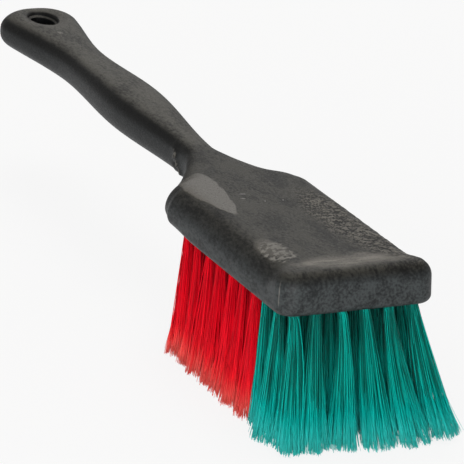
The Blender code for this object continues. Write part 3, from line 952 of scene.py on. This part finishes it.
@dataclass
class TuftField(Head):
    """The tufts of fine filaments that stand in the head's blind holes."""

    front_inset: float = 0.0080
    rear_inset: float = 0.0065
    side_inset: float = 0.0092
    rows: int = 10
    green_rows: int = 3
    in_row: int = 6
    in_rear_row: int = 5
    # How far each row's tips lie ahead of its roots, from the front row back.
    row_leans: tuple[float, ...] = (
        0.0160, 0.0098, 0.0082, 0.0053, 0.0043, 0.0036, 0.0033, 0.0031, 0.0030, 0.0034
    )  # fmt: skip
    # How far the tips of the front row's tufts lie aside of their roots, from the near side on.
    front_leans: tuple[float, ...] = (-0.0064, -0.0060, -0.0032, 0.0006, 0.0058, 0.0124)
    # How much further ahead than the row's lean the tips of the front row's tufts lie.
    front_aheads: tuple[float, ...] = (0.0, 0.0, 0.0010, 0.0045, 0.0055, 0.0030)
    # How far the first tufts' tips lie out to the near side in the two rows behind the front row.
    near_leans: Pair = (0.0078, 0.0038)
    # How far the front row's tufts are bowed aside near their roots.
    front_bows: tuple[float, ...] = (0.0017, 0.0, 0.0017, 0.0004, -0.0010, 0.0)
    rear_side_lean: float = 0.0043
    side_power: float = 4.0
    tuft_scatter: float = 0.0004
    corner_rise: float = 0.0025
    root_radius: float = 0.0024
    filaments: int = 190
    filament_radius: float = 0.00025
    # Along a filament: shares of its free length, and of its radius. Below nought is in the hole.
    stations: tuple[float, ...] = (-0.16, 0.0, 0.04, 0.08, 0.24, 0.42, 0.62, 0.82, 1.0)
    thickness: tuple[float, ...] = (1, 1, 1, 1, 1, 1, 1, 0.95, 0.6)
    sides: int = 3
    fill_share: float = 1.05
    outer_reach: float = 0.0062
    widest: float = 0.0498
    clumps: int = 11
    clump_pull: float = 0.30
    # How much of a filament's way aside goes with the square of its length, in the front row and
    # in the rows behind.
    front_bend: Pair = (0.10, 0.45)
    green_bend: Pair = (0.30, 0.65)
    red_bend: Pair = (0.45, 0.85)
    inner_shade: float = 0.95
    flank_shade: float = 0.70
    outer_share: float = 0.30
    tip_scatter: float = 0.0008
    stray_share: float = 0.015
    stray_reach: float = 3.0
    ragged: float = 0.0005
    most_ragged: float = 0.006
    bow: float = 0.0006
    frays: int = 220
    fray_start: float = 0.66
    fray_spread: float = 0.0007
    fray_rise: Pair = (-0.0004, 0.0018)
    fray_radius: float = 0.00013
    fray_thickness: tuple[float, ...] = (1, 1, 1, 0.7)
    seed: int = 7

    @property
    def pitch(self) -> float:
        """The distance from row to row."""
        return (self.head_length - self.front_inset - self.rear_inset) / (self.rows - 1)

    def count(self, row: int) -> int:
        """How many tufts a row has."""
        return self.in_rear_row if row == self.rows - 1 else self.in_row

    def across(self, row: int, column: int) -> float:
        """A tuft's place across the head."""
        width = self.head_width - 2 * self.side_inset
        return width * (column / (self.count(row) - 1) - 0.5)

    def places(self) -> dict[tuple[int, int], Colour]:
        """The place of every tuft's root, by its row and its number in the row."""
        first = self.front_x - self.front_inset
        return {
            (row, column): (first - self.pitch * row, self.across(row, column), self.underside)
            for row in range(self.rows)
            for column in range(self.count(row))
        }

    def lean(self, row: int, column: int) -> tuple[Pair, float]:
        """How far a tuft's tips lie ahead of its roots and aside of them, and the share of the
        front corners' rise that its row has."""
        share = (1 - row / (self.rows - 1)) ** self.side_power
        if row == 0:
            ahead = self.row_leans[0] + self.front_aheads[column]
            return (ahead, self.front_leans[column]), share
        place = 2 * column / (self.count(row) - 1) - 1
        aside = self.rear_side_lean * place
        if place > 0:
            aside = aside * (1 - share) + self.front_leans[column] * share
        elif row <= len(self.near_leans):
            aside = self.near_leans[row - 1] * place
        return (self.row_leans[row], aside), share if place > 0 else 0.0

    def tip_reach(self, row: int, column: int) -> tuple[Pair, Pair]:
        """How far a tuft's tips reach behind and to the near side of their middle, and ahead and
        to the far side: half the way to the next tuft's tips, and at the outside of the field no
        further than the outer reach."""
        leans = self.row_leans
        ahead, behind = ((self.pitch - np.diff([leans[0], *leans, leans[-1]])) / 2)[row : row + 2]
        tips = [self.lean(row, c)[0][1] + self.across(row, c) for c in range(self.count(row))]
        halves = np.diff(tips) / 2
        outer = np.minimum(halves[[0, -1]], self.outer_reach)
        near, far = (outer[0], *halves, outer[1])[column : column + 2]
        return (behind, near), (ahead, far)

    def centre_lines(
        self, row: int, column: int, shares: Array, random: np.random.Generator
    ) -> tuple[Array, Array]:
        """The middle of every filament of one tuft, from its root, as points from the tuft's place.

        Roots and tips are spread evenly over two discs by the sunflower rule: the radius is the
        square root of the share, the angle goes on by the golden angle. The tips' disc is stretched
        to the reach on each side, and its points are drawn together in clumps. Between them a
        filament follows a mix of a straight line and a square, and bows a little to one side by a
        half wave. A few stray further.

        Args:
            row: the tuft's row.
            column: its number in the row.
            shares: shares of a split end's length.
            random: the source of all scatter.

        Returns:
            Points by filament and by station, and each filament's split ends in the same way.
        """
        count = self.filaments
        number = np.arange(count)
        angle = number * math.pi * (3 - math.sqrt(5)) + random.uniform(0, 2 * math.pi)
        disc = (np.sqrt((number + 0.5) / count) * [np.cos(angle), np.sin(angle)]).T
        lean, cornered = self.lean(row, column)
        bowed = self.front_bows[column] if row == 0 else 0.0
        root = disc * self.root_radius + random.normal(0, self.tuft_scatter / 2, 2)
        stray = np.where(random.uniform(0, 1, (count, 1)) < self.stray_share, self.stray_reach, 1.0)
        drawn = self.gathered(disc, random)
        reach = np.where(drawn < 0, *self.tip_reach(row, column)) * self.fill_share
        tip = lean + random.normal(0, self.tuft_scatter, 2) + drawn * reach
        tip = tip + random.normal(0, self.tip_scatter, (count, 2)) * stray
        rear_bend = self.green_bend if row < self.green_rows else self.red_bend
        bend = random.uniform(*(rear_bend if row else self.front_bend), (count, 1, 1))
        bow = random.normal(0, self.bow, (count, 1, 2))
        ragged = np.abs(random.normal(0, self.ragged, (count, 1))) * stray
        # The tips rise with the cube of their place across, which is one at the widest.
        outward = np.abs(tip[:, 1:] + self.across(row, column)) / self.widest
        length = self.underside - ragged.clip(0, self.most_ragged)
        length = length - self.corner_rise * cornered * outward**3

        def path(at: Array, which: Array) -> Array:
            """The chosen filaments read at the given shares of their length."""
            t = np.clip(at, 0, 1)[None, :, None]
            eased = t * (1 - bend[which]) + bend[which] * t**2
            plan = root[which][:, None] * (1 - eased) + tip[which][:, None] * eased
            plan = plan + bow[which] * np.sin(math.pi * t)
            plan[..., 1] += bowed * np.sin(math.pi * np.sqrt(t[..., 0]))
            height = np.where(at < 0, -at * self.underside, -at * length[which])
            return np.concatenate([plan, height[..., None]], axis=-1)

        parents = random.integers(0, count, self.frays)
        split = path(self.fray_start + (1 - self.fray_start) * shares, parents)
        apart = random.normal(0, self.fray_spread, (self.frays, 1, 2))
        split[..., :2] += apart * shares[:, None] ** 1.5
        split[..., 2] += shares * random.uniform(*self.fray_rise, (self.frays, 1))
        return path(np.array(self.stations), number), split

    def gathered(self, disc: Array, random: np.random.Generator) -> Array:
        """Draws a disc's points part of the way to the nearest of a few chosen among them."""
        middles = disc[random.choice(len(disc), self.clumps, replace=False)]
        apart = np.linalg.norm(disc[:, None] - middles[None], axis=-1)
        return disc + (middles[apart.argmin(axis=1)] - disc) * self.clump_pull

    def darkness(self, row: int, column: int, roots: Array, along: Array) -> Array:
        """How much painted shade darkens a filament towards its root, by filament and by station.

        Tufts inside the field get painted shade all round. Those at its edge get it only on the
        side that faces the field, and it fades out towards their bare side.
        """
        open_ahead = (row == 0) - (row == self.rows - 1)
        open_aside = (column > 0) - (column < self.count(row) - 1)
        if not (open_ahead or open_aside):
            return self.inner_shade * (1 - rise(along / 0.7))
        bare = (roots / self.root_radius * (open_ahead, open_aside)).max(axis=1).clip(0, 1)
        flank = self.flank_shade * (1 - rise(bare / 0.8))[:, None]
        hidden = self.inner_shade * self.outer_share
        return hidden * (1 - rise(along / 0.7)) + flank * (1 - rise(along / 0.5))

    def tuft(
        self, row: int, column: int, place: Colour, materials: dict[Bristle, Material]
    ) -> None:
        """Makes and dresses one tuft of whole filaments and of the finer ends that fray from them.

        Args:
            row: the tuft's row.
            column: its number in the row.
            place: the place of its root.
            materials: the finish of each colour.
        """
        random = np.random.default_rng(self.seed + 100 * row + column)
        along = np.array(self.stations)
        shares = np.linspace(0, 1, len(self.fray_thickness))
        lines, frays = self.centre_lines(row, column, shares, random)
        shade = random.uniform(0, 1, (self.filaments, 1))
        # Painted shade towards the roots of the tufts.
        shade = shade - self.darkness(row, column, lines[:, 1, :2], along)
        fray_shade = random.uniform(0.4, 1.0, (self.frays, 1))
        fray_along = self.fray_start + (1 - self.fray_start) * shares
        points, faces, values = [], [], {"along": [], "shade": []}
        for strands, at, radius, tone in (
            (lines, along, self.filament_radius * np.array(self.thickness), shade),
            (frays, fray_along, self.fray_radius * np.array(self.fray_thickness), fray_shade),
        ):
            tubes = strands[:, :, None] + circle(self.sides) * radius[:, None, None]
            shape = tubes.shape[:3]
            faces += tube_faces(*shape, first=sum(map(len, points)))
            points.append(tubes.reshape(-1, 3))
            for name, numbers in (("along", at.clip(0, 1)[:, None]), ("shade", tone[..., None])):
                values[name].append(np.broadcast_to(numbers, shape).ravel())
        points = np.concatenate(points) + place
        points[:, 1] = points[:, 1].clip(-self.widest, self.widest)
        values = {name: np.concatenate(parts) for name, parts in values.items()}

        colour = Bristle.GREEN if row < self.green_rows else Bristle.RED
        name = f"{colour.name.lower()}_row{row + 1:02d}_{column + 1}"
        mesh = new_mesh(f"filaments_{name}", points, faces, **values)
        mesh.shade_smooth()
        turn_outwards(mesh)
        piece = new_object(f"filaments_{name}", mesh)
        dress(piece, materials[colour], colour.value.slot, f"tuft_{name}")

    def build(self, materials: dict[Bristle, Material]) -> None:
        """Makes every tuft."""
        for (row, column), place in self.places().items():
            self.tuft(row, column, place, materials)


@dataclass(frozen=True)
class Lamp:
    """One large square soft light that faces a point."""

    name: str
    place: Colour
    aim: Colour
    side: float
    power: float
    colour: Colour = (1.0, 0.985, 0.96)

    def build(self) -> None:
        """Hangs the lamp."""
        data = bpy.data.lights.new(self.name, "AREA")
        data.shape = "SQUARE"
        data.size = self.side
        data.energy = self.power
        data.color = self.colour
        lamp = new_object(self.name, data)
        turn = (Vector(self.aim) - Vector(self.place)).to_track_quat("-Z", "Y").to_matrix()
        lamp.matrix_world = Matrix.Translation(self.place) @ turn.to_4x4()
        lamp.visible_camera = False


@dataclass
class Studio:
    """The pale floor, the soft lights, the world and the camera."""

    camera_place: Colour = (1.67232, -0.72281, 0.65121)
    azimuth: float = 24.166
    elevation: float = 18.790
    roll: float = 2.796
    sensor: float = 36.0
    lens: float = 306.15
    floor_side: float = 6.0
    floor_drop: float = 0.0002
    floor_glow: float = 0.86
    floor_colour: Colour = (0.90, 0.90, 0.90)
    # Strengths of the world: evenly on everything, and what gloss adds at the horizon and overhead.
    even: float = 0.26
    horizon: float = 0.40
    overhead: float = -0.22
    lamps: tuple[Lamp, ...] = (
        Lamp("back", (-1.20, 0.55, 0.95), (0.0, 0.0, 0.05), 1.2, 4.0),
        Lamp("overhead", (-0.35, 0.15, 1.50), (0.0, 0.0, 0.05), 1.0, 6.0),
        Lamp("front", (1.45, -0.75, 0.20), (0.12, 0.0, 0.03), 0.9, 28.0, WHITE),
    )

    def camera(self) -> None:
        """Puts the camera where the photo was taken from, turned about its own axis by the roll."""
        a, e, r = (math.radians(x) for x in (self.azimuth, self.elevation, self.roll))
        forward = Vector((-math.cos(a) * math.cos(e), math.sin(a) * math.cos(e), -math.sin(e)))
        right = Vector((math.sin(a), math.cos(a), 0.0))
        down = forward.cross(right)
        turned_right = right * math.cos(r) - down * math.sin(r)
        turned_down = right * math.sin(r) + down * math.cos(r)
        data = bpy.data.cameras.new("photo_camera")
        data.sensor_width = self.sensor
        data.lens = self.lens
        camera = new_object("photo_camera", data)
        turn = Matrix((turned_right, -turned_down, -forward)).transposed().to_4x4()
        camera.matrix_world = Matrix.Translation(self.camera_place) @ turn
        bpy.context.scene.camera = camera

    def rays(self, wiring: Wiring, *kinds: str) -> Socket:
        """1 for rays of the named kinds, 0 for the rest."""
        path, found = wiring.node("LightPath"), 0.0
        for kind in kinds:
            found = wiring.maths("MAXIMUM", found, path[f"Is {kind} Ray"])
        return found

    def floor(self) -> None:
        """A plain pale floor under the bristle tips. Seen directly or mirrored it glows a little,
        so that it is white where it is lit and still holds the object's shadow."""
        plan = np.array([[-1, -1, 0], [1, -1, 0], [1, 1, 0], [-1, 1, 0]]) * self.floor_side / 2
        mesh = new_mesh("floor", plan - (0, 0, self.floor_drop), [[0, 1, 2, 3]])
        floor = new_object("floor", mesh)
        material, wiring, shader = new_finish("pale_floor")
        surface = {"Base Color": self.floor_colour, "Roughness": 0.9, "Specular IOR Level": 0.0}
        wiring.feed(shader, surface)
        seen = self.rays(wiring, "Camera", "Glossy", "Transmission")
        glow = wiring.node("Emission", {"Color": WHITE, "Strength": 1.0})[0]
        inputs = {0: wiring.times(seen, self.floor_glow), 1: shader.outputs[0], 2: glow}
        mixed = wiring.node("MixShader", inputs)[0]
        wiring.feed(wiring.tree.nodes["Material Output"], {"Surface": mixed})
        mesh.materials.append(material)

    def world(self) -> None:
        """White where it is seen directly, white round the horizon and dark overhead where it is
        mirrored, and a weaker even light on the object."""
        world = bpy.data.worlds.new("studio_world")
        world.use_nodes = True
        bpy.context.scene.world = world
        wiring = Wiring(world.node_tree)
        direction = wiring.axes(wiring.coordinate("Generated"))
        mirrored = wiring.ramp(direction["Z"], 0.25, 0.75, self.horizon, self.overhead)
        mirrored = wiring.times(mirrored, wiring.ramp(direction["X"], -0.9, 0.0, 0.1, 1.0))
        gloss = wiring.times(self.rays(wiring, "Glossy", "Transmission"), mirrored)
        strength = wiring.plus(self.even, gloss)
        shown = wiring.maths("MAXIMUM", self.rays(wiring, "Camera"), strength)
        wiring.feed(world.node_tree.nodes["Background"], {"Color": WHITE, "Strength": shown})

    def build(self) -> None:
        """Sets up the whole studio."""
        bpy.context.scene.view_settings.view_transform = "Standard"
        self.camera()
        self.floor()
        self.world()
        for lamp in self.lamps:
            lamp.build()
        LOG.info("studio: camera, floor, world and %d lamps", len(self.lamps))


def main() -> None:
    """Builds every piece in order, after logging the box of the CAD body."""
    logging.basicConfig(level=logging.INFO, format="%(name)s %(message)s")
    lowest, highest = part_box("brush_body")
    LOG.info("brush body from %s to %s", lowest, highest)
    Studio().build()
    effects = Effects()
    tufts = TuftField(front_x=highest.x)
    places = np.array(list(tufts.places().values()))
    MouldedBody(front_x=highest.x).build(places, MouldedSkin().material(effects))
    tufts.build({colour: colour.value.material(effects) for colour in Bristle})


if __name__ == "__main__":
    main()
